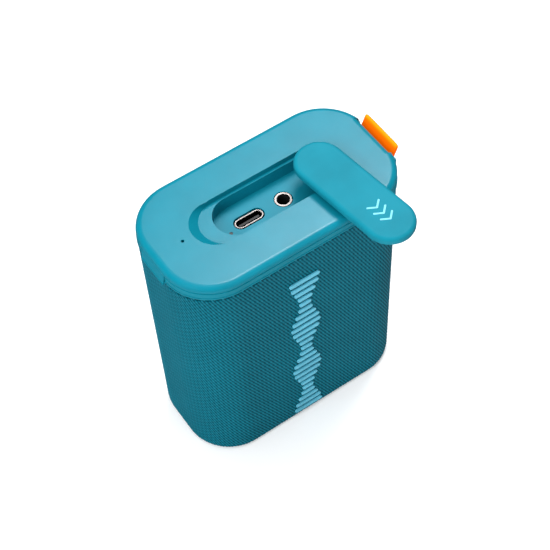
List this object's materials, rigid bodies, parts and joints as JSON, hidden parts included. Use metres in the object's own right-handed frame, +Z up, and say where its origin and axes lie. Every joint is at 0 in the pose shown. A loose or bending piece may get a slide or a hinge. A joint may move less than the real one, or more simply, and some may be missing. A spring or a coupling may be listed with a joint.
{
  "type": "portable bluetooth speaker",
  "caption": "Rounded upright speaker in a knitted sleeve with a soft-touch cap, a swivelling lid over a port recess, a webbing loop and rear buttons.",
  "frame": {"origin": "middle of the flat rest face under the base foot", "axes": "+Z up through the top cap, +X along the long side in plan towards the webbing loop, -Y out of the badge side"},
  "size_m": [0.0784, 0.0572, 0.0941],
  "materials": {
    "cap_teal": "satin soft-touch moulding",
    "ring_teal": "satin moulded trim",
    "lid_teal": "satin soft-touch silicone",
    "mark_pale": "matte printed relief",
    "knit_teal": "coarse knitted speaker cloth",
    "badge_blue": "matte raised rubber print",
    "webbing_orange": "flat woven webbing",
    "steel": "plain steel",
    "nickel": "nickel-plated",
    "black_plastic": "fine matte",
    "frame_plastic": "moulded, matte",
    "foot_rubber": "matte rubber",
    "paper_cone": "coated pulp cone",
    "surround_rubber": "butyl rubber",
    "board_green": "solder mask",
    "chip_black": "moulded epoxy",
    "cell_wrap": "shrink sleeve",
    "magnet": "zinc-plated iron",
    "copper": "enamelled copper wire",
    "light_pipe": "frosted clear plastic"
  },
  "bodies": {
    "housing": {"fabric_sleeve": "knit_teal", "grille_frame": "frame_plastic", "top_cap": "cap_teal", "port_tray": "cap_teal", "trim_ring": "ring_teal", "base_plate": "frame_plastic", "base_foot": "foot_rubber", "base_screws": "steel", "cap_screws": "steel", "strap_anchor": "ring_teal", "strap_pin": "steel", "front_badge": "badge_blue", "usb_c_shell": "nickel", "usb_c_tongue": "black_plastic", "audio_jack_body": "black_plastic", "audio_jack_ring": "nickel", "led_light_pipe": "light_pipe", "microphone": "nickel", "main_board": "board_green", "board_chips": "chip_black", "battery_cell": "cell_wrap", "battery_cradle": "black_plastic", "speaker_box": "black_plastic", "driver_basket": "steel", "driver_magnet": "magnet", "driver_surround": "surround_rubber", "driver_screws": "steel", "radiator_frame": "black_plastic", "radiator_surround": "surround_rubber", "control_panel": "lid_teal", "button_board": "board_green", "tact_switches": "chip_black"},
    "lid": {"port_lid": "lid_teal", "lid_gasket": "lid_teal", "lid_mark": "mark_pale", "lid_post": "lid_teal", "lid_clip": "black_plastic"},
    "strap": {"strap_loop": "webbing_orange"},
    "cone": {"driver_cone": "paper_cone", "dust_cap": "paper_cone", "voice_coil": "copper"},
    "radiator": {"radiator_plate": "paper_cone", "radiator_weight": "steel"},
    "minus": {"button_minus": "cap_teal"},
    "play": {"button_play": "cap_teal"},
    "plus": {"button_plus": "cap_teal"},
    "power": {"button_power": "cap_teal"}
  },
  "joints": [
    {"name": "lid_swivel", "type": "hinge", "parent": "housing", "child": "lid", "pos_m": [0.0165, 0, 0.0915], "axis": [0, 0, 1], "range_deg": [-97.5, 82.5]},
    {"name": "strap_swing", "type": "hinge", "parent": "housing", "child": "strap", "pos_m": [0.0353, 0, 0.0816], "axis": [0, 1, 0], "range_deg": [0, 65]},
    {"name": "cone_travel", "type": "slide", "parent": "housing", "child": "cone", "axis": [0, -1, 0], "range_m": [-0.0008, 0.0008], "stiffness_N_per_m": 1200},
    {"name": "radiator_travel", "type": "slide", "parent": "housing", "child": "radiator", "axis": [0, 1, 0], "range_m": [-0.001, 0.001], "stiffness_N_per_m": 900},
    {"name": "minus_press", "type": "slide", "parent": "housing", "child": "minus", "axis": [0, -1, 0], "range_m": [0, 0.0005], "stiffness_N_per_m": 1500},
    {"name": "play_press", "type": "slide", "parent": "housing", "child": "play", "axis": [0, -1, 0], "range_m": [0, 0.0005], "stiffness_N_per_m": 1500},
    {"name": "plus_press", "type": "slide", "parent": "housing", "child": "plus", "axis": [0, -1, 0], "range_m": [0, 0.0005], "stiffness_N_per_m": 1500},
    {"name": "power_press", "type": "slide", "parent": "housing", "child": "power", "axis": [0, -1, 0], "range_m": [0, 0.0005], "stiffness_N_per_m": 1500}
  ]
}
